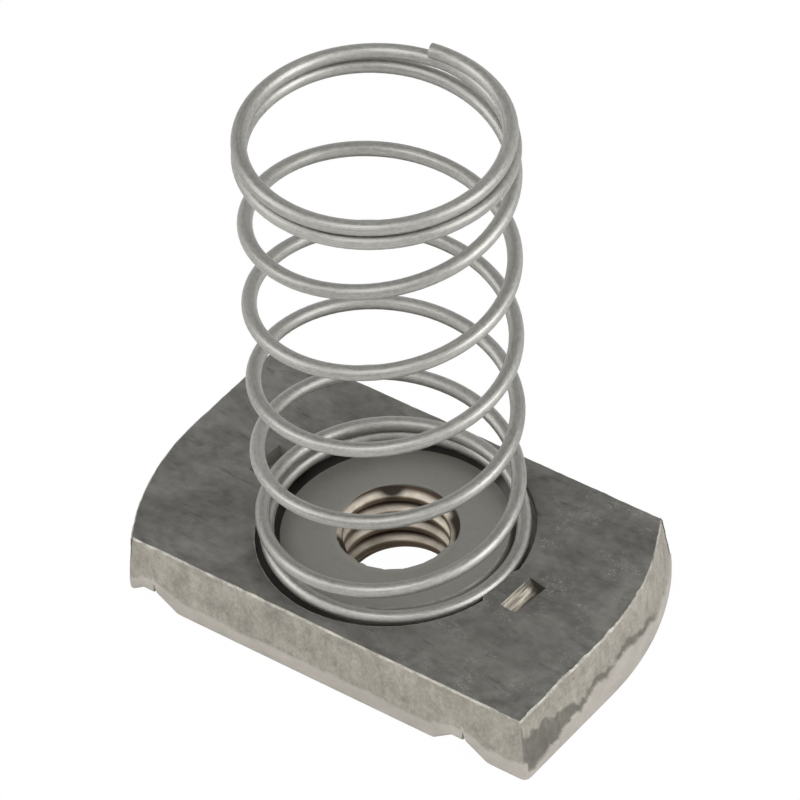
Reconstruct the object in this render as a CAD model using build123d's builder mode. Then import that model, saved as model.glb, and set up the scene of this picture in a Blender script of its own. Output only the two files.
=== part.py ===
"""Strut spring nut: a blanked steel nut plate with a compression spring staked into its top face.

The frame has its origin on the thread axis, at the height of the plate's underside. +Z points up
through the thread and the spring, +X runs along the plate's long side. All sizes are millimetres.
"""

import os
from math import asin, ceil, cos, degrees, radians, sin, sqrt

from build123d import *

os.makedirs("parts", exist_ok=True)

# Nut plate, measured round the smooth lower band of its blanked edge.
plate_length = 34.2
plate_width = 20.0
plate_thickness = 4.8
flat_reach = 1.1  # each end runs straight past the middle line by this much, then curves
end_radius = 19.35  # the curve that lets the nut turn between the walls of a channel
corner_radius = 0.7
smooth_band = 1.5  # height of the burnished part of the edge
break_draft = 6.5  # degrees that the torn part of the edge leans in towards the top
rollover_radius = 0.55
tool_over = 1.0  # how far the cutting shapes run out past a face

# Two grooves across the underside, which seat on the turned-in lips of the channel.
groove_offset = 12.0
groove_mouth = 4.2
groove_ceiling = 1.15
groove_depth = 1.1
lip_rounding = 0.35
slit_width = 0.22
slit_run = 0.45
slit_rise = 0.75

# Tapped hole, M8 x 1.25, as the bore at the crests of the thread.
thread_diameter = 8.0
thread_pitch = 1.25
crest_diameter = thread_diameter - 1.0825 * thread_pitch
mouth_diameter = thread_diameter - 0.1

# Spring wire, and the coil's mean radius along its height.
wire_diameter = 0.94
coil_radius = 7.97
head_coil_radius = 8.04
end_coil_radius = 7.89

# The coil's course, in turns counted up from its lower tip. Only the lowest turn is seated.
turn_total = 8.086
tip_angle = 72.0  # direction of the lower tip, from +X towards +Y
seat_height = 0.28  # of the lowest turn's centre over the plate's top face, at the middle
step_start = 0.85  # here the wire starts to climb over its own lower end
step_end = 0.995
step_rise = 0.97
open_start = 0.9
open_end = 1.84
close_start = 5.985
close_end = 6.3
open_pitch = 6.27
close_pitch = 0.97
pitch_growth = 0.113  # the open turns spread slightly wider towards the top
head_start = 5.4  # over these turns the coil widens into its closed head
end_start = 7.5  # from here the wire draws in to its upper tip
spring_lean = 3.7  # degrees that the whole spring leans towards +X
spring_shift = 0.47  # the free turns stand this far off the thread axis, towards -Y
shift_height = 3.0  # height at which the shift has set in
points_per_turn = 16

# Ring groove in the top face that takes the lower side of the leaning spring's lowest turn.
seat_clearance = 0.3  # beside the wire, on either side
seat_gap = 0.02  # under the wire's lowest point
seat_outer_radius = coil_radius + wire_diameter / 2 + seat_clearance
seat_inner_radius = coil_radius - wire_diameter / 2 - seat_clearance
lean_drop = coil_radius * sin(radians(spring_lean)) - seat_height * cos(radians(spring_lean))
seat_depth = lean_drop + wire_diameter / 2 + seat_gap

# Two stakes, half a turn apart, whose displaced metal closes over the groove.
stake_pit_inner = 9.55
stake_pit_outer = 11.05
stake_pit_depth = 0.75
stake_pit_length = 2.9
stake_pit_wall = 0.2  # run of the pit's steep outer wall
stake_lip_length = 3.3
stake_shift = -0.55
stake_lip_depth = 0.55
stake_lip_root = 0.05
stake_lip_reach = 0.4  # how far the lip's edge stays outside the middle of the wire
stake_wire_clearance = 0.04

half_length = plate_length / 2
half_width = plate_width / 2
torn_band = plate_thickness - smooth_band
arc_sweep = degrees(asin((half_width + flat_reach) / end_radius))

# The leaning spring's own plane, on the middle of the plate's top face.
lean = radians(spring_lean)
foot = Plane(
    origin=(0, 0, plate_thickness), x_dir=(cos(lean), 0, -sin(lean)), z_dir=(sin(lean), 0, cos(lean))
)

with BuildPart() as nut_plate:
    # Outline with two sharp corners on one diagonal and curved ends towards the other two.
    with BuildSketch() as outline:
        with BuildLine():
            right_flat = Line((half_length, -half_width), (half_length, -flat_reach))
            right_curve = JernArc(right_flat @ 1, (0, 1), end_radius, arc_sweep)
            back_edge = Line(right_curve @ 1, (-half_length, half_width))
            left_flat = Line(back_edge @ 1, (-half_length, flat_reach))
            left_curve = JernArc(left_flat @ 1, (0, -1), end_radius, arc_sweep)
            Line(left_curve @ 1, right_flat @ 0)
        make_face()
        corners = outline.vertices().filter_by(lambda v: abs(abs(v.Y) - half_width) < 0.01)
        fillet(corners, corner_radius)
    extrude(amount=smooth_band)
    extrude(nut_plate.faces().sort_by(Axis.Z)[-1], amount=torn_band, taper=break_draft)
    fillet(nut_plate.faces().sort_by(Axis.Z)[0].edges(), rollover_radius)

    # Lip grooves, with rounded mouths and the slit that the tool leaves in each ceiling.
    ramp_run = (groove_mouth - groove_ceiling) / 2
    ramp_angle = degrees(asin(groove_depth / sqrt(ramp_run**2 + groove_depth**2)))
    mouth_run = groove_mouth / 2 + lip_rounding / 2
    ceiling_run = groove_ceiling / 2
    for place in (-groove_offset, groove_offset):
        with BuildSketch(Plane(origin=(place, 0, 0), x_dir=(1, 0, 0), z_dir=(0, -1, 0))):
            with BuildLine():
                left_lip = JernArc((-mouth_run, 0), (1, 0), lip_rounding, ramp_angle)
                right_lip = JernArc((mouth_run, 0), (-1, 0), lip_rounding, -ramp_angle)
                Polyline(
                    left_lip @ 1,
                    (-ceiling_run, groove_depth),
                    (ceiling_run - slit_width, groove_depth),
                    (ceiling_run - slit_width - slit_run, groove_depth + slit_rise),
                    (ceiling_run, groove_depth),
                    right_lip @ 1,
                )
                Polyline(
                    (-mouth_run, 0), (-mouth_run, -tool_over), (mouth_run, -tool_over), (mouth_run, 0)
                )
            make_face()
        extrude(amount=plate_width, both=True, mode=Mode.SUBTRACT)

    # Tapped hole with a small countersink at each face.
    crest_radius = crest_diameter / 2
    mouth_radius = mouth_diameter / 2
    sink = mouth_radius - crest_radius
    with BuildSketch(Plane.XZ) as bore:
        with BuildLine():
            Polyline(
                (0, -tool_over),
                (mouth_radius + tool_over, -tool_over),
                (crest_radius, sink),
                (crest_radius, plate_thickness - sink),
                (mouth_radius + tool_over, plate_thickness + tool_over),
                (0, plate_thickness + tool_over),
                close=True,
            )
        make_face()
    revolve(axis=Axis.Z, mode=Mode.SUBTRACT)

    # Ring groove for the lowest turn.
    with BuildSketch(Plane.XY.offset(plate_thickness)):
        Circle(seat_outer_radius)
        Circle(seat_inner_radius, mode=Mode.SUBTRACT)
    extrude(amount=-seat_depth, mode=Mode.SUBTRACT)

    # Staking: a wedge-shaped pit on each side, and the metal that it pushes over the wire.
    lip_inner_radius = coil_radius + stake_lip_reach
    for turned in (0, 180):
        side = Plane.XY.rotated((0, 0, turned))
        across = Plane(origin=side.from_local_coords((0, stake_shift, 0)), x_dir=side.x_dir,
                       z_dir=-side.y_dir)
        with BuildSketch(across) as pit:
            with BuildLine():
                Polyline(
                    (stake_pit_inner, plate_thickness),
                    (stake_pit_outer - stake_pit_wall, plate_thickness - stake_pit_depth),
                    (stake_pit_outer, plate_thickness),
                    close=True,
                )
            make_face()
        extrude(amount=stake_pit_length / 2, both=True, mode=Mode.SUBTRACT)
        with BuildSketch(side.offset(plate_thickness)) as lip:
            with Locations((coil_radius, stake_shift)):
                Rectangle(2 * stake_pit_outer - 2 * coil_radius, stake_lip_length)
            Circle(seat_outer_radius + stake_lip_root, mode=Mode.INTERSECT)
            Circle(lip_inner_radius, mode=Mode.SUBTRACT)
        extrude(amount=-stake_lip_depth)
    with BuildSketch(Plane(origin=foot.origin, x_dir=foot.x_dir, z_dir=-foot.y_dir)) as wire_room:
        with Locations((coil_radius, seat_height)):
            Circle(wire_diameter / 2 + stake_wire_clearance)
    revolve(axis=Axis(foot.origin, foot.z_dir), mode=Mode.SUBTRACT)

nut_plate.part.label = "nut_plate"


def blend(turn: float, start: float, end: float) -> float:
    """Give 0 before start, 1 after end and a smooth step between them."""
    share = min(max((turn - start) / (end - start), 0.0), 1.0)
    return share**2 * (3 - 2 * share)


def climb(turn: float, start: float, end: float) -> float:
    """Give the height gained per unit of pitch when the pitch sets in between two turns."""
    share = min(max((turn - start) / (end - start), 0.0), 1.0)
    return (share**3 - share**4 / 2) * (end - start) + max(turn - end, 0.0)


def coil_height(turn: float) -> float:
    """Give the wire's height along the leaning spring's own axis."""
    height = seat_height + step_rise * blend(turn, step_start, step_end)
    height += open_pitch * climb(turn, open_start, open_end)
    height += (close_pitch - open_pitch) * climb(turn, close_start, close_end)
    free = min(max(turn, open_end), close_start)
    return height + pitch_growth * (free - open_end) * (free - close_start)


def coil_point(turn: float) -> Vector:
    """Give the wire's centre at a turn counted from the lower tip."""
    radius = coil_radius
    radius += (head_coil_radius - coil_radius) * blend(turn, head_start, close_start)
    radius += (end_coil_radius - head_coil_radius) * blend(turn, end_start, turn_total)
    angle = radians(tip_angle + 360 * turn)
    height = coil_height(turn)
    shift = spring_shift * blend(height, seat_height, shift_height)
    return foot.from_local_coords(Vector(radius * cos(angle), radius * sin(angle) - shift, height))


with BuildPart() as spring:
    steps = ceil(turn_total * points_per_turn)
    with BuildLine() as course:
        Spline([coil_point(turn_total * step / steps) for step in range(steps + 1)])
    with BuildSketch(Plane(course.line @ 0, z_dir=course.line % 0)):
        Circle(wire_diameter / 2)
    sweep(path=course.line, is_frenet=True)

spring.part.label = "spring"

for piece in (nut_plate, spring):
    export_step(piece.part, f"parts/{piece.part.label}.step")
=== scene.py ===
"""Strut spring nut: a blanked steel nut plate with a spring standing in its ring groove.

The classes hold their sizes in millimetres. Each finished mesh is scaled to metres once, when its
object is made. The frame has its origin on the thread axis at the plate's underside, +Z up.
"""

import logging
from dataclasses import dataclass
from enum import IntEnum
from math import asin, cos, hypot, pi, radians, sin, sqrt, tan

import bmesh
import bpy
from mathutils import Matrix, Vector, noise


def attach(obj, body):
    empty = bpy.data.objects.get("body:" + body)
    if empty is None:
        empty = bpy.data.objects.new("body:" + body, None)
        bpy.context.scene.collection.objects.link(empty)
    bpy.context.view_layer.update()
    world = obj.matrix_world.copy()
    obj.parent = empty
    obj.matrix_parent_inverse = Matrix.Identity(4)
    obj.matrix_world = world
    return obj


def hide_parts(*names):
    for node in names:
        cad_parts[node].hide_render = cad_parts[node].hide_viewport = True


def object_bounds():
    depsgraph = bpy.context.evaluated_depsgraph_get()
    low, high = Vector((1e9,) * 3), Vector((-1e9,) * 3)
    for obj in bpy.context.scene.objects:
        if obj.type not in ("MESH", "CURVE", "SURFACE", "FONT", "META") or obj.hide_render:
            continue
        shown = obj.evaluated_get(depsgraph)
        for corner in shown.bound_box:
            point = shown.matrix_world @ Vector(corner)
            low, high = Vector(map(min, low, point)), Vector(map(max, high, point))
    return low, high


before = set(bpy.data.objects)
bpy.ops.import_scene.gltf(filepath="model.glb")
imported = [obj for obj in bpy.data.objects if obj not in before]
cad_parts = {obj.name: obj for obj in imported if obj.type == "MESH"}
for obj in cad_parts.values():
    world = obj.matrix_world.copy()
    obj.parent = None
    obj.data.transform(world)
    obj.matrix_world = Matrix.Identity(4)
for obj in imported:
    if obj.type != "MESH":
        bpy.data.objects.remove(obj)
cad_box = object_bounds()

logging.basicConfig(level=logging.INFO, format="%(message)s")
log = logging.getLogger("spring_nut")

METRE = 0.001  # one millimetre in scene units
ENLARGED = 1000.0  # a fill finds its corners exactly only on a mesh scaled up by this much
WELD = 1e-4  # points closer than this are one point
CUT_MARGIN = 1e-5  # points closer than this to a cutting plane lie on it
TOP = 4.8  # height of the plate's top face
UP = Vector((0.0, 0.0, 1.0))
CENTRE = (0.0, 0.0, 0.0)
SHARP = radians(32)  # edges that turn by more than this are shaded as edges

Mesh = bmesh.types.BMesh
Vert = bmesh.types.BMVert
Face = bmesh.types.BMFace
Element = Vert | bmesh.types.BMEdge | Face
Socket = bpy.types.NodeSocket
Material = bpy.types.Material
Pair = tuple[float, float]
Point = tuple[float, float, float]
Colour = Point


class Surface(IntEnum):
    """The plate's kinds of surface, in the order of its material slots."""

    FACE = 0
    EDGE = 1
    RIM = 2
    STAKE = 3


def ease(value: float, start: float, end: float) -> float:
    """Give 0 before start, 1 after end and a smooth step between them."""
    share = min(max((value - start) / (end - start), 0.0), 1.0)
    return share**2 * (3 - 2 * share)


def grain(place: Vector, size: float, seed: float = 0.0) -> float:
    """Give smooth noise from -1 to 1 whose lumps are about size millimetres across."""
    return noise.noise(place / size + Vector((seed, -seed, 2 * seed)))


def heading(angle: float) -> Vector:
    """Give the level unit vector at an angle in radians from +X towards +Y."""
    return Vector((cos(angle), sin(angle), 0.0))


def sight(azimuth: float, elevation: float) -> Vector:
    """Give the unit vector from the nut towards a viewer or lamp, for angles in degrees."""
    turn, rise = radians(azimuth), radians(elevation)
    return Vector((sin(turn) * cos(rise), -cos(turn) * cos(rise), sin(rise)))


class NodeBench:
    """A node tree under construction, with short ways to add the nodes that the finishes share."""

    def __init__(self, tree: bpy.types.NodeTree) -> None:
        """Start with an empty tree."""
        self.tree = tree
        self.tree.nodes.clear()

    def add(self, kind: str, **settings: object) -> bpy.types.Node:
        """Add a node of a kind and apply its settings.

        Args:
            kind: the node's type name after ShaderNode.
            settings: attribute values to set on it.

        Returns:
            The node.
        """
        node = self.tree.nodes.new("ShaderNode" + kind)
        for key, value in settings.items():
            setattr(node, key, value)
        return node

    def join(self, source: Socket, target: Socket) -> None:
        """Link two sockets."""
        self.tree.links.new(source, target)

    def feed(self, target: Socket, value: Socket | float | Colour) -> None:
        """Give an input a link or a plain value.

        Args:
            target: the input socket.
            value: an output socket, a number or a colour.
        """
        if isinstance(value, Socket):
            self.join(value, target)
        elif isinstance(value, tuple) and target.type == "RGBA":
            target.default_value = (*value, 1.0)
        else:
            target.default_value = value

    def ranged(
        self, value: Socket, low: float, high: float, start: float = 0.0, end: float = 1.0
    ) -> Socket:
        """Map a value's range onto another, clamped.

        Args:
            value: the socket to map.
            low, high: inputs that give start and end.
            start, end: results there.

        Returns:
            The mapped value.
        """
        node = self.add("MapRange")
        self.join(value, node.inputs["Value"])
        marks = {"From Min": low, "From Max": high, "To Min": start, "To Max": end}
        for key, number in marks.items():
            node.inputs[key].default_value = number
        return node.outputs["Result"]

    def spanned(self, value: Socket, low: float, high: float, *ends: float) -> Socket:
        """Map a distance as ranged does, with low and high in millimetres."""
        return self.ranged(value, low * METRE, high * METRE, *ends)

    def math(self, kind: str, first: Socket | float, second: Socket | float = 0.0) -> Socket:
        """Combine two values.

        Args:
            kind: the operation, such as MULTIPLY.
            first, second: the values.

        Returns:
            The result.
        """
        node = self.add("Math", operation=kind)
        self.feed(node.inputs[0], first)
        self.feed(node.inputs[1], second)
        return node.outputs["Value"]

    def off(self, value: Socket, mark: float) -> Socket:
        """Give the square of how far a value is from a mark."""
        gap = self.math("SUBTRACT", value, mark)
        return self.math("MULTIPLY", gap, gap)

    def blend(
        self, share: Socket | float, first: Socket | Colour, second: Socket | Colour
    ) -> Socket:
        """Mix two colours.

        Args:
            share: 0 gives the first, 1 the second.
            first, second: the colours.

        Returns:
            The mixed colour.
        """
        node = self.add("Mix", data_type="RGBA")
        self.feed(node.inputs[0], share)
        self.feed(node.inputs[6], first)
        self.feed(node.inputs[7], second)
        return node.outputs[2]


class MaterialBench(NodeBench):
    """A material under construction: its shader, its coordinates and its bump."""

    def __init__(self, name: str) -> None:
        """Start a material that holds a shader and an output."""
        self.material = bpy.data.materials.new(name)
        self.material.use_nodes = True
        super().__init__(self.material.node_tree)
        self.shader = self.add("BsdfPrincipled")
        self.surface = self.add("OutputMaterial").inputs["Surface"]
        self.join(self.shader.outputs["BSDF"], self.surface)
        self.place = self.add("TexCoord").outputs["Object"]

    def noise(
        self, stretch: Colour, detail: float = 4.0, roughness: float = 0.55,
        twist: float = 0.0, place: Socket | None = None,
    ) -> Socket:
        """Add noise.

        Args:
            stretch: lumps per millimetre along each axis.
            detail: octaves.
            roughness: strength of the finer octaves.
            twist: distortion.
            place: coordinates, or None for the object's own.

        Returns:
            The noise value, from 0 to 1.
        """
        node = self.add("TexNoise")
        scaled = self.add("Mapping")
        self.join(place or self.place, scaled.inputs["Vector"])
        scaled.inputs["Scale"].default_value = tuple(lumps / METRE for lumps in stretch)
        self.join(scaled.outputs["Vector"], node.inputs["Vector"])
        marks = {"Scale": 1.0, "Detail": detail, "Roughness": roughness, "Distortion": twist}
        for key, number in marks.items():
            node.inputs[key].default_value = number
        return node.outputs["Fac"]

    def attribute(self, name: str) -> bpy.types.Node:
        """Read one of the mesh's own attributes."""
        return self.add("Attribute", attribute_name=name)

    def axes(self) -> tuple[Socket, Socket, Socket, Socket]:
        """Split the surface's place.

        Returns:
            Its X, Y and Z and its distance from the thread axis, in metres.
        """
        split = self.add("SeparateXYZ")
        self.join(self.place, split.inputs["Vector"])
        across = self.add("CombineXYZ")
        self.join(split.outputs["X"], across.inputs["X"])
        self.join(split.outputs["Y"], across.inputs["Y"])
        reach = self.add("VectorMath", operation="LENGTH")
        self.join(across.outputs["Vector"], reach.inputs[0])
        x, y, z = (split.outputs[axis] for axis in "XYZ")
        return x, y, z, reach.outputs["Value"]

    def bump(self, layers: list[tuple[Socket, float]]) -> None:
        """Stack bump layers on the shader's normal.

        Args:
            layers: for each, its height from 0 to 1 and its depth in millimetres.
        """
        normal = None
        for height, depth in layers:
            node = self.add("Bump")
            node.inputs["Strength"].default_value = 1.0
            node.inputs["Distance"].default_value = depth * METRE
            self.join(height, node.inputs["Height"])
            if normal is not None:
                self.join(normal, node.inputs["Normal"])
            normal = node.outputs["Normal"]
        self.join(normal, self.shader.inputs["Normal"])

    def finish(self, colour: Socket | Colour, roughness: Socket | float, metallic: float) -> None:
        """Set the shader's main sockets.

        Args:
            colour: base colour.
            roughness: roughness.
            metallic: metallic share.
        """
        self.feed(self.shader.inputs["Base Color"], colour)
        self.feed(self.shader.inputs["Roughness"], roughness)
        self.shader.inputs["Metallic"].default_value = metallic


@dataclass(frozen=True)
class FaceFinish:
    """Dull rolled strip: cloudy dark grey with dark smears along the plate and a few fine specks.

    The boss inside the ring groove is cleaner and lighter. The groove's floor towards -X gets
    painted shade.
    """

    dark: Colour = (0.138, 0.136, 0.122)
    light: Colour = (0.290, 0.285, 0.262)
    smear: Colour = (0.105, 0.103, 0.092)
    speck: Colour = (0.450, 0.442, 0.415)
    # colour of the painted shade on the ring groove's floor
    groove_shade: Colour = (0.030, 0.029, 0.026)
    boss: Colour = (0.335, 0.328, 0.300)
    boss_radius: float = 7.3
    boss_edge: float = 0.1
    flare: float = 0.4
    floor_depth: Pair = (0.9, 0.8)
    sunk_depth: Pair = (0.3, 0.06)
    specks_from: float = -2.0
    specks_full: float = 9.0
    metallic: float = 0.75

    def build(self) -> Material:
        """Make the material."""
        bench = MaterialBench("rolled_face")
        x, _, z, reach = bench.axes()
        flare = bench.spanned(x, -1.0, 4.0, 0.0, self.flare * METRE)
        even = bench.math("SUBTRACT", reach, flare)
        low, high = self.boss_radius - self.boss_edge, self.boss_radius + self.boss_edge
        inside = bench.spanned(even, low, high, 1.0, 0.0)
        clouds = bench.noise((0.22, 0.26, 0.2), detail=3, twist=1.2)
        streaks = bench.noise((0.3, 1.2, 1.0), detail=4, twist=0.3)
        mottle = bench.noise((1.6, 2.0, 1.6), detail=5, roughness=0.65)
        cloudy = bench.ranged(clouds, 0.34, 0.66, 0.0, 0.6)
        tone = bench.math("ADD", cloudy, bench.ranged(streaks, 0.3, 0.7, 0.0, 0.3))
        tone = bench.math("ADD", tone, bench.ranged(mottle, 0.3, 0.7, -0.15, 0.30))
        colour = bench.blend(tone, self.dark, self.light)
        smears = bench.noise((0.42, 1.5, 1.0), detail=4, roughness=0.6, twist=0.8)
        colour = bench.blend(bench.ranged(smears, 0.59, 0.74, 0.0, 0.75), colour, self.smear)
        fine = bench.noise((8.0, 9.0, 8.0), detail=2, roughness=0.5)
        patch = bench.noise((0.4, 0.5, 0.4), detail=3)
        clusters = bench.ranged(patch, 0.51, 0.63)
        dots = bench.math("MULTIPLY", bench.ranged(fine, 0.55, 0.70), clusters)
        where = bench.spanned(x, self.specks_from, self.specks_full, 0.04, 0.75)
        colour = bench.blend(bench.math("MULTIPLY", dots, where), colour, self.speck)
        clean = bench.blend(bench.ranged(mottle, 0.2, 0.8, 0.0, 0.25), self.boss, self.light)
        colour = bench.blend(inside, colour, clean)
        # painted shade: the ring groove's floor goes dark on the side towards -X, which is turned
        # away from the lamps
        floor = bench.spanned(z, *(TOP - depth for depth in self.floor_depth))
        sunk = bench.spanned(z, *(TOP - depth for depth in self.sunk_depth), 1.0, 0.0)
        turned_away = bench.spanned(x, 0.0, 4.0, 0.9, 0.0)
        groove_shade = bench.math("MULTIPLY", bench.math("MULTIPLY", floor, sunk), turned_away)
        colour = bench.blend(groove_shade, colour, self.groove_shade)
        rough = bench.ranged(mottle, 0.3, 0.7, 0.44, 0.60)
        scratches = bench.noise((0.5, 9.0, 4.0), detail=3, roughness=0.6)
        bench.bump([(scratches, 0.010), (mottle, 0.02), (fine, 0.006)])
        bench.finish(colour, rough, self.metallic)
        return bench.material


@dataclass(frozen=True)
class EdgeFinish:
    """Blanked edge: pale warm grey, grainy where the metal tore and smoother beneath."""

    torn_dark: Colour = (0.250, 0.232, 0.198)
    torn_light: Colour = (0.490, 0.458, 0.400)
    smooth_dark: Colour = (0.395, 0.366, 0.325)
    smooth_light: Colour = (0.560, 0.522, 0.475)
    scale_spot: Colour = (0.155, 0.148, 0.128)
    metallic: float = 0.55

    def build(self) -> Material:
        """Make the material."""
        bench = MaterialBench("blanked_edge")
        torn = bench.attribute("torn").outputs["Fac"]
        smeared = bench.attribute("smeared").outputs["Fac"]
        grit = bench.noise((4.5, 4.5, 4.0), detail=5, roughness=0.7)
        pulled = bench.noise((1.6, 1.6, 0.7), detail=4, roughness=0.6, twist=0.4)
        cloud = bench.noise((0.4, 0.4, 0.6), detail=4, twist=0.5)
        grainy = bench.ranged(grit, 0.3, 0.7, 0.0, 0.55)
        torn_tone = bench.math("ADD", grainy, bench.ranged(pulled, 0.3, 0.7, 0.0, 0.45))
        torn_tone = bench.math("ADD", torn_tone, bench.ranged(cloud, 0.3, 0.7, -0.22, 0.22))
        torn_colour = bench.blend(torn_tone, self.torn_dark, self.torn_light)
        cloudy = bench.ranged(cloud, 0.3, 0.7, 0.0, 0.7)
        smooth_tone = bench.math("ADD", cloudy, bench.ranged(grit, 0.3, 0.7, 0.0, 0.3))
        smooth_colour = bench.blend(smooth_tone, self.smooth_dark, self.smooth_light)
        colour = bench.blend(torn, smooth_colour, torn_colour)
        patchy = bench.math("MULTIPLY", smeared, bench.ranged(pulled, 0.35, 0.65, 1.0, 0.72))
        colour = bench.blend(patchy, colour, self.scale_spot)
        rough = bench.ranged(torn, 0.0, 1.0, 0.36, 0.62)
        bench.bump([(pulled, 0.038), (grit, 0.027)])
        bench.finish(colour, rough, self.metallic)
        return bench.material


@dataclass(frozen=True)
class RimFinish:
    """The rim along the plate's upper edge and the ring groove's, lighter partly from wear and
    partly by a painted highlight.
    """

    dark: Colour = (0.290, 0.276, 0.240)
    light: Colour = (0.500, 0.478, 0.425)
    roughness: float = 0.5
    metallic: float = 0.55

    def build(self) -> Material:
        """Make the material."""
        bench = MaterialBench("worn_rim_and_highlight")
        breaks = bench.noise((1.1, 1.1, 1.1), detail=5, roughness=0.75)
        # lighter patches along the rim: partly wear, partly a painted highlight on the edge
        colour = bench.blend(bench.ranged(breaks, 0.40, 0.60), self.dark, self.light)
        bench.bump([(breaks, 0.03)])
        bench.finish(colour, self.roughness, self.metallic)
        return bench.material


@dataclass(frozen=True)
class StakeFinish:
    """Fresh metal in the pit towards +X, in fine bright ridges that die out into painted shade at
    its far end.

    The pit towards -X is plain grey.
    """

    dark: Colour = (0.150, 0.138, 0.112)
    light: Colour = (0.700, 0.640, 0.530)
    shade: Colour = (0.105, 0.098, 0.082)
    far: Colour = (0.340, 0.328, 0.296)
    end_shade_from: float = 0.1
    end_shade_full: float = 0.45
    roughness: float = 0.42
    metallic: float = 0.7

    def build(self) -> Material:
        """Make the material."""
        bench = MaterialBench("staked_metal")
        x, y, _, _ = bench.axes()
        ridges = bench.noise((6.0, 0.35, 1.0), detail=3, roughness=0.6)
        colour = bench.blend(bench.ranged(ridges, 0.40, 0.64), self.dark, self.light)
        # painted shade: the pit's far end, towards +Y, goes dark
        deep = bench.spanned(y, self.end_shade_from, self.end_shade_full)
        colour = bench.blend(deep, colour, self.shade)
        colour = bench.blend(bench.math("LESS_THAN", x, 0.0), colour, self.far)
        bench.bump([(ridges, 0.05)])
        bench.finish(colour, self.roughness, self.metallic)
        return bench.material


@dataclass(frozen=True)
class ThreadFinish:
    """Cut thread: warm pale flanks, brown crests and dark brown valleys, dark partly from their
    brown tone and partly by painted shade.

    The shade spots, each an angle, a distance from the axis and a size, darken its upper mouth.
    """

    # the valleys' brown tone, deepened with painted shade
    valley: Colour = (0.085, 0.058, 0.036)
    flank: Colour = (0.740, 0.675, 0.575)
    crest: Colour = (0.210, 0.160, 0.110)
    boss: Colour = (0.335, 0.328, 0.300)
    shade: Colour = (0.036, 0.027, 0.019)
    crest_radius: float = 3.35
    bright_from: float = 3.42
    bright_to: float = 3.62
    valley_radius: float = 3.86
    boss_height: float = 4.74
    boss_edge: float = 0.01
    shade_from: float = 4.0
    shade_full: float = 4.2
    shade_core: float = 0.6  # share of each spot's size that is dark all over
    shade_spots: tuple[Point, ...] = (
        (131.0, 4.15, 1.15), (41.0, 4.05, 1.6), (236.0, 3.95, 1.3)
    )
    roughness: float = 0.48
    metallic: float = 0.65

    def build(self) -> Material:
        """Make the material."""
        bench = MaterialBench("cut_thread")
        x, y, z, reach = bench.axes()
        stain = bench.noise((0.9, 0.9, 0.9), detail=4)
        flank = bench.blend(bench.ranged(stain, 0.35, 0.65, 0.0, 0.35), self.flank, self.crest)
        rising = bench.spanned(reach, self.crest_radius, self.bright_from)
        falling = bench.spanned(reach, self.bright_to, self.valley_radius)
        colour = bench.blend(rising, self.crest, flank)
        # towards the root the colour goes to the valley's: a brown tone deepened by painted shade
        colour = bench.blend(falling, colour, self.valley)
        raised = bench.spanned(z, self.shade_from, self.shade_full)
        for angle, distance, size in self.shade_spots:
            spot = heading(radians(angle)) * distance * METRE
            away = bench.math("ADD", bench.off(x, spot.x), bench.off(y, spot.y))
            away = bench.math("SQRT", away)
            dusk = bench.spanned(away, self.shade_core * size, size, 1.0, 0.0)
            colour = bench.blend(bench.math("MULTIPLY", dusk, raised), colour, self.shade)
        low, high = self.boss_height - self.boss_edge, self.boss_height + self.boss_edge
        over = bench.spanned(z, low, high)
        colour = bench.blend(over, colour, self.boss)
        tooling = bench.noise((0.6, 0.6, 9.0), detail=2)
        bench.bump([(tooling, 0.015), (stain, 0.03)])
        bench.finish(colour, self.roughness, self.metallic)
        return bench.material


@dataclass(frozen=True)
class WireFinish:
    """Satin spring wire: fine marks run along it, with faint duller and darker stretches."""

    dark: Colour = (0.290, 0.284, 0.264)
    light: Colour = (0.520, 0.511, 0.480)
    stain: Colour = (0.170, 0.158, 0.138)
    metallic: float = 0.9

    def build(self) -> Material:
        """Make the material."""
        bench = MaterialBench("spring_wire")
        course = bench.attribute("course").outputs["Vector"]
        drawn = bench.noise((9.0, 9.0, 0.12), detail=4, roughness=0.6, place=course)
        lengths = bench.noise((0.9, 0.9, 0.10), detail=4, place=course)
        grit = bench.noise((6.0, 6.0, 3.5), detail=4, roughness=0.7, place=course)
        marks = bench.ranged(drawn, 0.3, 0.7, 0.0, 0.45)
        tone = bench.math("ADD", marks, bench.ranged(lengths, 0.3, 0.7, 0.0, 0.4))
        tone = bench.math("ADD", tone, bench.ranged(grit, 0.35, 0.65, -0.15, 0.3))
        colour = bench.blend(tone, self.dark, self.light)
        spots = bench.noise((1.6, 1.6, 0.5), detail=4, place=course)
        colour = bench.blend(bench.ranged(spots, 0.64, 0.78, 0.0, 0.5), colour, self.stain)
        rough = bench.ranged(grit, 0.3, 0.7, 0.38, 0.54)
        bench.bump([(drawn, 0.012), (grit, 0.010)])
        bench.finish(colour, rough, self.metallic)
        return bench.material


def add_object(name: str, data: bpy.types.ID) -> bpy.types.Object:
    """Put an object with a mesh, lamp or camera into the scene, at the origin."""
    thing = bpy.data.objects.new(name, data)
    bpy.context.scene.collection.objects.link(thing)
    return thing


def make_piece(bm: Mesh, name: str, materials: list[Material]) -> bpy.types.Object:
    """Turn a finished mesh into an object that rides on the nut.

    Args:
        bm: the mesh in millimetres; it is freed.
        name: the object's name.
        materials: its material slots in order.

    Returns:
        The object, at the origin, with its faces turned outwards and its edges marked.
    """
    bmesh.ops.recalc_face_normals(bm, faces=bm.faces)
    for edge in bm.edges:
        edge.smooth = len(edge.link_faces) == 2 and edge.calc_face_angle(pi) < SHARP
    for face in bm.faces:
        face.smooth = True
    bmesh.ops.scale(bm, vec=(METRE,) * 3, verts=bm.verts)
    mesh = bpy.data.meshes.new(name)
    bm.to_mesh(mesh)
    bm.free()
    for material in materials:
        mesh.materials.append(material)
    piece = add_object(name, mesh)
    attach(piece, "root")
    return piece


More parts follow.
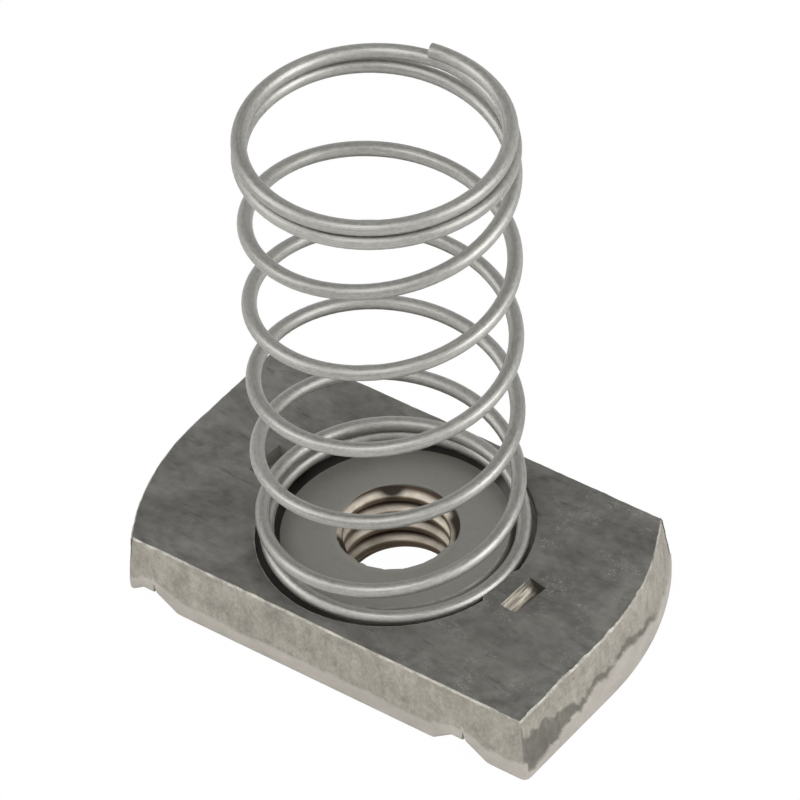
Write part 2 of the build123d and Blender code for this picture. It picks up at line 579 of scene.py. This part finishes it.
def turned(bm: Mesh, profile: list[Pair], steps: int) -> None:
    """Spin a profile of radius and height fully round the thread axis.

    Args:
        bm: the mesh to add to.
        profile: the corners of the profile in order.
        steps: segments in the full turn.
    """
    verts = [bm.verts.new((reach, 0.0, height)) for reach, height in profile]
    edges = [bm.edges.new(pair) for pair in zip(verts, verts[1:])]
    bmesh.ops.spin(
        bm, geom=verts + edges, cent=CENTRE, axis=UP, angle=2 * pi, steps=steps, use_merge=True
    )


def verts_in(parts: list[Element]) -> list[Vert]:
    """Pick the vertices out of an operator's result."""
    return [part for part in parts if isinstance(part, Vert)]


def push_out(bm: Mesh, face: Face) -> tuple[Face, list[Vert]]:
    """Extrude a face, which stays as an inner wall, and give the new one with its vertices."""
    grown = bmesh.ops.extrude_face_region(bm, geom=[face])["geom"]
    return next(part for part in grown if isinstance(part, Face)), verts_in(grown)


def pull_in(vert: Vert, amount: float) -> None:
    """Move a vertex towards the thread axis by an amount, or away from it if that is negative."""
    share = 1 - amount / hypot(vert.co.x, vert.co.y)
    vert.co.x *= share
    vert.co.y *= share


def slice_mesh(
    bm: Mesh, place: Point, facing: Point, parts: list[Element] | None = None, clear: bool = False
) -> None:
    """Cut some parts, or the whole mesh, where a plane passes; clear drops what is beyond it."""
    bmesh.ops.bisect_plane(
        bm, geom=parts or bm.verts[:] + bm.edges[:] + bm.faces[:], dist=CUT_MARGIN,
        plane_co=place, plane_no=facing, clear_outer=clear,
    )


@dataclass
class NutPlate:
    """The blanked plate with its ring groove, stakes, lip grooves and bore."""

    length: float = 34.2
    width: float = 20.0
    flat_reach: float = 1.1
    end_radius: float = 19.35
    corner_cut: float = 0.56
    corner_steps: int = 6
    smooth_band: float = 1.5
    draft: float = 6.5
    rollover: float = 0.55
    mesh_step: float = 0.15
    layers: int = 30
    torn_blend: Pair = (-0.06, 0.1)
    end_from: Pair = (12.0, -9.7)  # X and Y past which the right end starts
    end_low: float = 0.9  # there the torn metal starts at this height in front, then rises
    end_high: float = 2.3
    end_rise: Pair = (-9.5, -1.0)
    end_fall: float = 0.8
    end_facing: Pair = (0.5, 0.8)
    dark_rise: float = 2.2
    rim_height: float = 0.12
    rim_run: float = 0.10

    groove_offset: float = 12.0
    groove_mouth: float = 4.2
    groove_ceiling: float = 1.15
    groove_depth: float = 1.1
    lip_rounding: float = 0.35
    lip_swell: float = 0.06
    lip_marks: Pair = (0.12, 0.08)
    press_depth: float = 0.9  # so far under the top face the metal stays as it was
    slit_width: float = 0.32
    slit_rise: float = 0.75

    root_radius: float = 4.0
    seat_inner: float = 7.2
    boss_foot: float = 7.26
    boss_flare: float = 0.34
    seat_outer: float = 8.74
    seat_depth: float = 0.725
    break_radius: float = 0.07
    ring_steps: int = 288

    stake_inner: float = 9.55
    stake_outer: float = 11.05
    stake_low: float = 10.85
    stake_depth: float = 0.75
    stake_length: float = 2.9
    stake_shift: float = -0.55
    stake_skew: float = 0.12
    lip_length: float = 3.3
    lip_push: float = 0.33

    def outline(self, bm: Mesh) -> Face:
        """Draw the plate's outline, fine enough for its edge to be torn.

        Args:
            bm: the mesh to add to.

        Returns:
            The face inside the outline.
        """
        half_length, half_width = self.length / 2, self.width / 2
        corner = bm.verts.new((half_length, -half_width, 0))
        flat = bm.verts.new((half_length, -self.flat_reach, 0))
        bm.edges.new((corner, flat))
        sweep = asin((half_width + self.flat_reach) / self.end_radius)
        steps = round(sweep * self.end_radius / self.mesh_step)
        middle = (half_length - self.end_radius, -self.flat_reach, 0)
        swung = bmesh.ops.spin(bm, geom=[flat], cent=middle, axis=UP, angle=sweep, steps=steps)
        tip = verts_in(swung["geom_last"])[0]
        twin = bmesh.ops.duplicate(bm, geom=bm.verts[:] + bm.edges[:])
        half_turn = Matrix.Rotation(pi, 3, "Z")
        bmesh.ops.rotate(bm, cent=CENTRE, matrix=half_turn, verts=verts_in(twin["geom"]))
        bm.edges.new((tip, twin["vert_map"][corner]))
        bm.edges.new((twin["vert_map"][tip], corner))
        bmesh.ops.contextual_create(bm, geom=bm.edges[:])
        corners = [v for v in bm.verts if abs(abs(v.co.y) - half_width) < WELD]
        bmesh.ops.bevel(
            bm, geom=corners, offset=self.corner_cut, segments=self.corner_steps,
            affect="VERTICES", profile=0.5, material=-1,
        )
        for edge in [e for e in bm.edges if e.calc_length() > 1.5 * self.mesh_step]:
            cuts = round(edge.calc_length() / self.mesh_step) - 1
            bmesh.ops.subdivide_edges(bm, edges=[edge], cuts=cuts)
        return bm.faces[:][0]

    def torn_from(self, place: Vector) -> float:
        """Give the height at which the smooth band ends and the torn metal starts.

        Args:
            place: a point of the outline.

        Returns:
            The height over the underside.
        """
        flat = Vector((place.x, place.y, 0.0))
        height = self.smooth_band + 0.3 * grain(flat, 3.1) + 0.15 * grain(flat, 0.9, 5.0)
        if place.x > self.end_from[0] and place.y > self.end_from[1]:
            risen = ease(place.y, *self.end_rise)
            height = self.end_low + (self.end_high - self.end_low) * risen
            height -= self.end_fall * ease(place.y, 1.0, 6.0)
            height += 0.45 * grain(flat, 1.1, 9.0) + 0.25 * grain(flat, 0.4, 4.0)
        return height

    def shape_edge(self, bm: Mesh) -> None:
        """Give the edge its rollover, its smooth band and its torn, leaning upper part.

        Args:
            bm: the mesh, whose edge vertices carry the outline's outward direction.
        """
        outward = bm.verts.layers.float_vector["outward"]
        torn_layer = bm.verts.layers.float.new("torn")
        smear_layer = bm.verts.layers.float.new("smeared")
        rim_start = TOP - self.rim_height
        for vert in bm.verts:
            away = vert[outward]
            place = vert.co.copy()
            start = self.torn_from(place)
            torn = ease(place.z, *(start + edge for edge in self.torn_blend))
            back = max(place.z - self.smooth_band, 0.0) * tan(radians(self.draft))
            if place.z < self.rollover:
                back += self.rollover - sqrt(self.rollover**2 - (self.rollover - place.z) ** 2)
            end = ease(away.x, *self.end_facing)
            rough = 0.02 * grain(place, 0.35) + 0.02 * grain(place, 1.1, 3.0)
            rough += end * (0.06 * grain(place, 0.8, 7.0) + 0.03 * grain(place, 0.3, 1.0))
            back += torn * (0.04 + 0.05 * end - rough)
            if place.z > rim_start:
                worn = 1.0 + 0.5 * grain(place, 0.9, 2.0) + 0.6 * end * grain(place, 0.4, 8.0)
                back += self.rim_run * worn * (place.z - rim_start) / self.rim_height
            vert.co -= away * back
            vert[torn_layer] = torn
            lumps = 0.7 * grain(place, 1.2, 11.0) + 0.4 * grain(place, 0.45, 4.0)
            rise = 0.4 + self.dark_rise * (1 - ease(place.y, -8.8, -3.5))
            dark = 1 - ease(place.z + 0.5 * lumps - start, rise - 0.1, rise + 0.15)
            vert[smear_layer] = torn * dark * end * (1 - ease(place.y, 4.0, 6.0))

    def floor_height(self, x: float) -> float:
        """Give the underside's height over the lowest plane at a place along the plate.

        Args:
            x: the place along the plate.

        Returns:
            The height, more than 0 inside the lip grooves.
        """
        side = self.groove_offset if x > 0 else -self.groove_offset
        across = x - side
        ceiling = self.groove_ceiling / 2
        run = (self.groove_mouth - self.groove_ceiling) / 2
        mouth = self.groove_mouth / 2
        slit = ceiling - self.slit_width
        if slit < across < ceiling:
            share = 2 * (ceiling - across) / self.slit_width
            return self.groove_depth + self.slit_rise * (1 - abs(share - 1))
        slope = self.groove_depth * (mouth - abs(across)) / run
        if abs(across) > mouth - self.lip_rounding:
            fade = ease(abs(across), mouth - self.lip_rounding, mouth + self.lip_rounding)
            slope = max(slope * (1 - fade), 0.0) + self.lip_swell * fade * (1 - fade)
        return min(max(slope, 0.0), self.groove_depth)

    def cut_floor(self, bm: Mesh) -> None:
        """Press the two lip grooves up into the underside.

        Args:
            bm: the closed plate.
        """
        mouth, soft = self.groove_mouth / 2, self.lip_rounding
        ceiling = self.groove_ceiling / 2
        outside, inside = self.lip_marks
        marks = [
            -mouth - soft, -mouth - outside, -mouth + inside, -mouth + soft, -ceiling,
            mouth - soft, mouth - inside, mouth + outside, mouth + soft,
        ]
        for side in (-self.groove_offset, self.groove_offset):
            for mark in marks:
                low = [f for f in bm.faces if all(v.co.z < WELD for v in f.verts)]
                parts = dict.fromkeys(low)
                for face in low:
                    parts.update(dict.fromkeys([*face.edges, *face.verts]))
                slice_mesh(bm, (side + mark, 0, 0), (1, 0, 0), list(parts))
            for mark in (ceiling - self.slit_width, ceiling - self.slit_width / 2, ceiling):
                slice_mesh(bm, (side + mark, 0, 0), (1, 0, 0))
        unmoved = TOP - self.press_depth
        for vert in bm.verts:
            near = abs(abs(vert.co.x) - self.groove_offset) < mouth + 2 * soft
            if near and vert.co.z < unmoved:
                vert.co.z += self.floor_height(vert.co.x) * (1 - vert.co.z / unmoved)

    def ring_profile(self) -> list[Pair]:
        """Give the profile of the bore, the boss and the ring groove, from the underside up."""
        top, soft, root = TOP, self.break_radius, self.root_radius
        half = 0.3 * soft  # halfway round a broken edge
        low, inner, outer = top - self.seat_depth, self.seat_inner, self.seat_outer
        return [
            (root + soft, 0.0), (root, soft),
            (root, top - soft), (root + half, top - half), (root + soft, top),
            (inner - 1.2, top),
            (inner - soft, top), (inner - half, top - half), (inner, top - soft),
            (self.boss_foot, low + soft), (self.boss_foot + soft, low),
            (outer - soft, low), (outer, low + soft),
            (outer, top - 0.45), (outer, top - 0.25),
            (outer, top - soft), (outer + half, top - half), (outer + soft, top),
        ]

    def highlighted_break(self, place: Vector) -> bool:
        """Tell whether a place lies on one of the two upper edges of the ring groove that get a
        painted highlight.

        Args:
            place: the middle of a small face.

        Returns:
            True on the outer edge towards -Y and on the boss's edge towards +X.
        """
        reach, soft = hypot(place.x, place.y), self.break_radius
        outer = self.seat_outer < reach < self.seat_outer + soft and place.y < 0.2 * place.x
        boss = self.seat_inner - soft < reach < self.seat_inner and place.x - place.y > 4
        return place.z > TOP - soft and (outer or boss)

    def push_lips(self, bm: Mesh) -> None:
        """Flare the boss towards +X and push the outer wall over the wire at the two stakes.

        Args:
            bm: the mesh that holds the turned ring.
        """
        half = self.lip_length / 2
        for vert in bm.verts:
            reach = hypot(vert.co.x, vert.co.y)
            if abs(reach - self.boss_foot) < 0.12 and vert.co.z < TOP - 0.5:
                pull_in(vert, -self.boss_flare * ease(vert.co.x, -2.0, 5.0))
            if reach < self.seat_outer - 0.01 or reach > self.seat_outer + 0.2:
                continue
            side = 1 if vert.co.x > 0 else -1
            across = side * vert.co.y - self.stake_shift
            jag = 0.2 * grain(vert.co, 0.3, 6.0)
            share = 1 - ease(abs(across + jag), half - 0.35, half + 0.05)
            depth = TOP - vert.co.z
            share *= 1 - ease(depth, 0.2, 0.62)
            pull = self.lip_push * share
            if depth < 0.2:
                pull += (0.04 + 0.08 * share) * max(grain(vert.co, 0.3, 3.0), 0.0)
            pull_in(vert, pull)

    def cut_stake(self, bm: Mesh, side: int) -> None:
        """Add one staked pit, open at the top.

        Args:
            bm: the mesh to add to.
            side: 1 for the pit towards +X, -1 for its twin.
        """
        low = TOP - self.stake_depth
        near, far = (self.stake_shift + half * self.stake_length / 2 for half in (-1, 1))
        inner, deep, outer = self.stake_inner, self.stake_low, self.stake_outer
        skew, turn = self.stake_skew, 2 * self.stake_skew
        places = (
            (inner, near, TOP), (inner + skew, far, TOP),
            (deep - turn, near, low), (deep, far - turn, low),
            (outer - turn, near - skew, TOP), (outer, far - turn, TOP),
        )
        a, b, c, d, e, f = (bm.verts.new((side * x, side * y, z)) for x, y, z in places)
        for corners in ((a, b, d, c), (c, d, f, e), (a, c, e), (b, f, d)):
            bm.faces.new(corners).material_index = Surface.STAKE

    def build(self) -> bpy.types.Object:
        """Model and dress the plate.

        Returns:
            The plate's object.
        """
        bm = bmesh.new()
        outward = bm.verts.layers.float_vector.new("outward")
        face = self.outline(bm)
        turn = 1 if face.normal.z > 0 else -1
        for loop in face.loops:
            along = loop.link_loop_next.vert.co - loop.link_loop_prev.vert.co
            loop.vert[outward] = turn * Vector((along.y, -along.x, 0.0)).normalized()
        rim_start = TOP - self.rim_height
        heights = [rim_start * (step + 1) / self.layers for step in range(self.layers)]
        heights += [rim_start + self.rim_height / 2, TOP]
        level = 0.0
        for height in heights:
            face, lifted = push_out(bm, face)
            bmesh.ops.translate(bm, verts=lifted, vec=(0, 0, height - level))
            level = height
        caps = [f for f in bm.faces if len(f.verts) > 4]
        bmesh.ops.delete(bm, geom=caps, context="FACES_ONLY")
        self.shape_edge(bm)
        # the wall's upper rim takes the rim finish, lighter partly from wear and partly by a
        # painted highlight
        for wall in bm.faces:
            low = min(v.co.z for v in wall.verts)
            wall.material_index = Surface.RIM if low > rim_start - WELD else Surface.EDGE
        walls = set(bm.faces)
        turned(bm, self.ring_profile(), self.ring_steps)
        # painted highlight: the groove's upper edges on the sides towards -Y and +X take the
        # lighter rim finish
        for part in bm.faces:
            if part not in walls and self.highlighted_break(part.calc_center_median()):
                part.material_index = Surface.RIM
        self.push_lips(bm)
        for side in (-1, 1):
            self.cut_stake(bm, side)
        for level in (0.0, TOP):
            open_edges = [
                e for e in bm.edges
                if len(e.link_faces) < 2 and all(abs(v.co.z - level) < WELD for v in e.verts)
            ]
            bmesh.ops.scale(bm, vec=(ENLARGED,) * 3, verts=bm.verts)
            bmesh.ops.triangle_fill(bm, use_beauty=True, edges=open_edges, normal=UP)
            bmesh.ops.scale(bm, vec=(1 / ENLARGED,) * 3, verts=bm.verts)
        self.cut_floor(bm)
        bmesh.ops.remove_doubles(bm, verts=bm.verts, dist=WELD)
        finishes = [FaceFinish(), EdgeFinish(), RimFinish(), StakeFinish()]
        piece = make_piece(bm, "nut_plate_body", [f.build() for f in finishes])
        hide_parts("nut_plate")
        return piece


@dataclass
class ThreadRidge:
    """The metal between the thread's valleys: one ridge wound up the bore, with its plain lead."""

    pitch: float = 1.25
    crest_radius: float = 3.32
    root_radius: float = 4.04
    root_half: float = 0.53
    root_ease: Pair = (0.24, 0.127)
    crest_half: float = 0.15
    soft: float = 0.05
    start: float = -0.825
    turns: float = 5.4
    start_angle: float = 131.0
    steps_per_turn: int = 120
    low: float = 0.02
    high: float = 4.78
    lead_height: float = 0.30
    lead_slope: float = 0.3
    mouth_radius: float = 3.68
    mouth_grain: float = 0.14
    bore_margin: float = 0.02
    open_angle: float = 45.0
    open_spread: Pair = (0.72, 0.92)  # as cosines of the angle from its middle
    open_reach: float = 0.36
    open_depth: Pair = (0.3, 0.55)

    def wind(self, bm: Mesh) -> None:
        """Wind the ridge and cut it off level at both ends.

        Args:
            bm: the mesh to add to.
        """
        soft, eased = self.soft, self.root_ease
        half = 0.6 * soft  # how far a rounded crest's corner reaches along the thread
        root, crest, flat = self.root_radius, self.crest_radius, self.crest_half
        section = [
            (root, -self.root_half),
            (crest + soft, -flat - half), (crest, -flat + half),
            (crest, flat - half), (crest + soft, flat + half),
            (root - eased[0], self.root_half - eased[1]), (root, self.root_half),
        ]
        verts = [bm.verts.new((reach, 0.0, self.start + height)) for reach, height in section]
        face = bm.faces.new(verts)
        turn = Matrix.Rotation(radians(self.start_angle), 3, "Z")
        bmesh.ops.rotate(bm, cent=CENTRE, matrix=turn, verts=verts)
        bmesh.ops.spin(
            bm, geom=[face, *face.edges, *face.verts], cent=CENTRE, axis=UP,
            dvec=(0, 0, self.pitch / self.steps_per_turn),
            angle=2 * pi * self.turns, steps=round(self.turns * self.steps_per_turn),
        )
        for height, side in ((self.low, -1), (self.high, 1)):
            slice_mesh(bm, (0, 0, height), (0, 0, side), clear=True)
            rim = [e for e in bm.edges if len(e.link_faces) == 1]
            bmesh.ops.triangle_fill(bm, use_beauty=True, edges=rim, normal=UP)

    def open_mouth(self, bm: Mesh) -> None:
        """Bevel the upper end and break it away where the valley runs out under it.

        Args:
            bm: the mesh that holds the ridge.
        """
        facing = heading(radians(self.open_angle))
        for vert in bm.verts:
            depth = self.high - vert.co.z
            if depth > self.mouth_radius - self.crest_radius + self.open_reach:
                continue
            reach = hypot(vert.co.x, vert.co.y)
            ragged = self.mouth_grain * max(grain(vert.co, 0.35, 2.0), 0.0)
            turned_to = (facing.x * vert.co.x + facing.y * vert.co.y) / reach
            broken = ease(turned_to, *self.open_spread)
            broken *= 1 - ease(depth, *self.open_depth)
            least = self.mouth_radius - depth + ragged + depth * broken + self.open_reach * broken
            least = min(least, self.root_radius - self.bore_margin)
            if reach < least:
                vert.co.x *= least / reach
                vert.co.y *= least / reach

    def build(self) -> bpy.types.Object:
        """Wind and dress the ridge.

        Returns:
            The ridge's object.
        """
        bm = bmesh.new()
        self.wind(bm)
        self.open_mouth(bm)
        root, crest = self.root_radius, self.crest_radius
        lead = [
            (root, self.low), (crest + self.soft, self.low), (crest, self.low + self.soft),
            (crest, self.lead_height - self.soft), (root, self.lead_height + self.lead_slope),
            (root, self.low),
        ]
        turned(bm, lead, self.steps_per_turn)
        bmesh.ops.remove_doubles(bm, verts=bm.verts, dist=WELD)
        return make_piece(bm, "thread_ridge", [ThreadFinish().build()])


@dataclass
class CoilSpring:
    """The leaning compression spring, wound from its lower tip in the ring groove."""

    wire: float = 0.94
    radius: float = 7.97
    head_radius: float = 8.067
    end_radius: float = 7.873
    turns: float = 8.086
    tip_angle: float = 72.0
    seat_height: float = 0.28
    step: Pair = (0.85, 0.995)
    step_rise: float = 0.97
    opening: Pair = (0.9, 1.84)
    closing: Pair = (6.007, 6.295)
    open_pitch: float = 6.27
    close_pitch: float = 0.99
    growth: float = 0.113
    head_start: float = 5.4
    end_start: float = 7.2
    head_set: Pair = (5.5, 6.1)
    head_shift: Point = (-0.077, 0.042, 0.115)
    nested: float = 0.36  # the middle closed turn lies this much lower beside the upper tip
    nested_over: tuple[float, float, float, float] = (6.72, 6.9, 6.95, 7.08)
    tip_drop: float = 0.18
    tip_from: float = 7.85
    lean: float = 3.7
    shift: float = 0.47
    shift_height: float = 3.0
    tip_bevel: float = 0.05
    steps_per_turn: int = 84
    sides: int = 28

    @staticmethod
    def climb(turn: float, span: Pair) -> float:
        """Give the height gained per unit of pitch when the pitch sets in over a span of turns.

        Args:
            turn: the place along the wire.
            span: where the pitch starts and where it is whole.

        Returns:
            The height for a pitch of 1.
        """
        start, end = span
        share = min(max((turn - start) / (end - start), 0.0), 1.0)
        return (share**3 - share**4 / 2) * (end - start) + max(turn - end, 0.0)

    def height(self, turn: float) -> float:
        """Give the wire's height along the leaning axis.

        Args:
            turn: the place along the wire, in turns from its lower tip.

        Returns:
            The height over the plate's top face.
        """
        height = self.seat_height + self.step_rise * ease(turn, *self.step)
        height += self.open_pitch * self.climb(turn, self.opening)
        height += (self.close_pitch - self.open_pitch) * self.climb(turn, self.closing)
        free = min(max(turn, self.opening[1]), self.closing[0])
        start, full, held, end = self.nested_over
        height -= self.nested * ease(turn, start, full) * (1 - ease(turn, held, end))
        height -= self.tip_drop * ease(turn, self.tip_from, self.turns)
        return height + self.growth * (free - self.opening[1]) * (free - self.closing[0])

    def centre(self, turn: float) -> Vector:
        """Give the wire's centre.

        Args:
            turn: the place along the wire, in turns from its lower tip.

        Returns:
            The point in the nut's frame.
        """
        widened = ease(turn, self.head_start, self.closing[0])
        drawn_in = ease(turn, self.end_start, self.turns)
        radius = self.radius + (self.head_radius - self.radius) * widened
        radius += (self.end_radius - self.head_radius) * drawn_in
        angle = radians(self.tip_angle + 360 * turn)
        height = self.height(turn)
        shift = self.shift * ease(height, self.seat_height, self.shift_height)
        local = Vector((radius * cos(angle), radius * sin(angle) - shift, height))
        stood = Matrix.Rotation(radians(self.lean), 3, "Y") @ local + UP * TOP
        return stood + ease(turn, *self.head_set) * Vector(self.head_shift)

    def stand(self, turn: float) -> Matrix:
        """Give the wire's section frame: outwards, up and along the wire.

        Args:
            turn: the place along the wire.

        Returns:
            A matrix that places the section.
        """
        step = 0.0005
        along = (self.centre(turn + step) - self.centre(turn - step)).normalized()
        outward = heading(radians(self.tip_angle + 360 * turn))
        outward = (outward - along * outward.dot(along)).normalized()
        frame_axes = Matrix((outward, along.cross(outward), along)).transposed()
        return Matrix.Translation(self.centre(turn)) @ frame_axes.to_4x4()

    def build(self) -> bpy.types.Object:
        """Sweep and dress the wire.

        Returns:
            The spring's object.
        """
        bm = bmesh.new()
        course = bm.verts.layers.float_vector.new("course")
        circle = bmesh.ops.create_circle(
            bm, cap_ends=True, radius=self.wire / 2, segments=self.sides
        )["verts"]
        face = bm.faces[:][0]
        for vert in circle:
            vert[course] = vert.co
        place = self.stand(0.0)
        bmesh.ops.transform(bm, matrix=place, verts=circle)
        count = round(self.turns * self.steps_per_turn)
        passed = []
        for index in range(1, count + 1):
            turn = self.turns * index / count
            passed.append(face)
            face, ring = push_out(bm, face)
            following = self.stand(turn)
            bmesh.ops.transform(bm, matrix=following @ place.inverted(), verts=ring)
            place = following
            run = 2 * pi * self.radius * turn
            for vert in ring:
                across = vert[course]
                vert[course] = (across[0], across[1], run)
        bmesh.ops.delete(bm, geom=passed[1:], context="FACES_ONLY")
        caps = [f for f in bm.faces if len(f.verts) > 4]
        rims = [edge for cap in caps for edge in cap.edges]
        bmesh.ops.bevel(
            bm, geom=rims, offset=self.tip_bevel, segments=2, affect="EDGES",
            profile=0.5, material=-1,
        )
        for vert in bm.verts:
            vert[course] = Vector(vert[course]) * METRE
        piece = make_piece(bm, "coil_spring", [WireFinish().build()])
        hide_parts("spring")
        return piece


@dataclass(frozen=True)
class Softbox:
    """A large soft lamp that looks at the nut."""

    name: str
    azimuth: float
    elevation: float
    distance: float
    size: float
    power: float

    def hang(self, target: Vector) -> None:
        """Hang the lamp.

        Args:
            target: the point it looks at, in metres.
        """
        data = bpy.data.lights.new(self.name, "AREA")
        data.shape, data.size, data.energy = "DISK", self.size, self.power
        lamp = add_object(self.name, data)
        back = sight(self.azimuth, self.elevation)
        lamp.location = target + back * self.distance
        lamp.rotation_euler = back.to_track_quat("Z", "Y").to_euler()
        lamp.visible_camera = False


@dataclass(frozen=True)
class Studio:
    """Pale floor, soft lamps, bright surround and the camera."""

    azimuth: float = 41.14
    elevation: float = 41.76
    roll: float = -5.875
    distance: float = 418.8
    aside: float = 0.271
    above: float = 7.895
    lens: float = 305.0
    floor_half: float = 3.0
    floor_drop: float = 0.0002
    floor_white: float = 0.99
    horizon: float = 0.95
    zenith: float = 0.49
    fade: Pair = (0.1, 0.8)
    boxes: tuple[Softbox, ...] = (
        Softbox("key_softbox", 20.0, 55.0, 0.7, 0.45, 1.5),
        Softbox("left_softbox", -50.0, 30.0, 0.8, 0.5, 1.8),
        Softbox("right_softbox", 108.0, 26.0, 0.8, 0.5, 3.1),
    )

    def lay_floor(self) -> None:
        """Lay the pale floor, which looks plain white and keeps a faint shadow."""
        bm = bmesh.new()
        bmesh.ops.create_grid(bm, x_segments=8, y_segments=8, size=self.floor_half)
        bmesh.ops.translate(bm, verts=bm.verts, vec=(0, 0, -self.floor_drop))
        mesh = bpy.data.meshes.new("floor")
        bm.to_mesh(mesh)
        bm.free()
        bench = MaterialBench("pale_floor")
        bench.finish((0.9, 0.9, 0.9), 0.8, 0.0)
        glow = bench.add("Emission")
        mix = bench.add("MixShader")
        path = bench.add("LightPath")
        white = bench.math("MULTIPLY", path.outputs["Is Camera Ray"], self.floor_white)
        bench.join(white, mix.inputs["Fac"])
        bench.join(bench.shader.outputs["BSDF"], mix.inputs[1])
        bench.join(glow.outputs["Emission"], mix.inputs[2])
        bench.join(mix.outputs["Shader"], bench.surface)
        mesh.materials.append(bench.material)
        add_object("floor", mesh)

    def light_surround(self) -> None:
        """Make the world white to the camera and an even soft grey to the metal."""
        world = bpy.data.worlds.new("surround")
        bpy.context.scene.world = world
        world.use_nodes = True
        bench = NodeBench(world.node_tree)
        path = bench.add("LightPath").outputs["Is Camera Ray"]
        split = bench.add("SeparateXYZ")
        coordinates = bench.add("TexCoord")
        bench.join(coordinates.outputs["Generated"], split.inputs["Vector"])
        fall = bench.ranged(split.outputs["Z"], *self.fade, self.horizon, self.zenith)
        level = bench.ranged(path, 0.0, 1.0)
        bench.join(fall, level.node.inputs["To Min"])
        glow = bench.add("Background")
        bench.join(level, glow.inputs["Strength"])
        out = bench.add("OutputWorld")
        bench.join(glow.outputs["Background"], out.inputs["Surface"])

    def aim_camera(self) -> None:
        """Place the camera, turned a little about its own line of sight."""
        roll = radians(self.roll)
        back = sight(self.azimuth, self.elevation)
        level = heading(radians(self.azimuth))
        upright = back.cross(level)
        right = cos(roll) * level + sin(roll) * upright
        up = cos(roll) * upright - sin(roll) * level
        place = back * self.distance + right * self.aside + up * self.above + UP * TOP
        data = bpy.data.cameras.new("camera")
        data.lens, data.sensor_width = self.lens, 36.0
        data.clip_start, data.clip_end = 0.01, 20.0
        camera = add_object("camera", data)
        stand = Matrix((right, up, back)).transposed().to_4x4()
        camera.matrix_world = Matrix.Translation(place * METRE) @ stand
        bpy.context.scene.camera = camera

    def build(self) -> None:
        """Set up the whole studio."""
        self.lay_floor()
        self.light_surround()
        low, high = cad_box
        for box in self.boxes:
            box.hang((low + high) / 2)
        self.aim_camera()
        bpy.context.scene.view_settings.view_transform = "Standard"


def main() -> None:
    """Build the pieces in order."""
    for assembly in (NutPlate(), ThreadRidge(), CoilSpring()):
        piece = assembly.build()
        log.info("%s: %d faces", piece.name, len(piece.data.polygons))
    Studio().build()


if __name__ == "__main__":
    main()
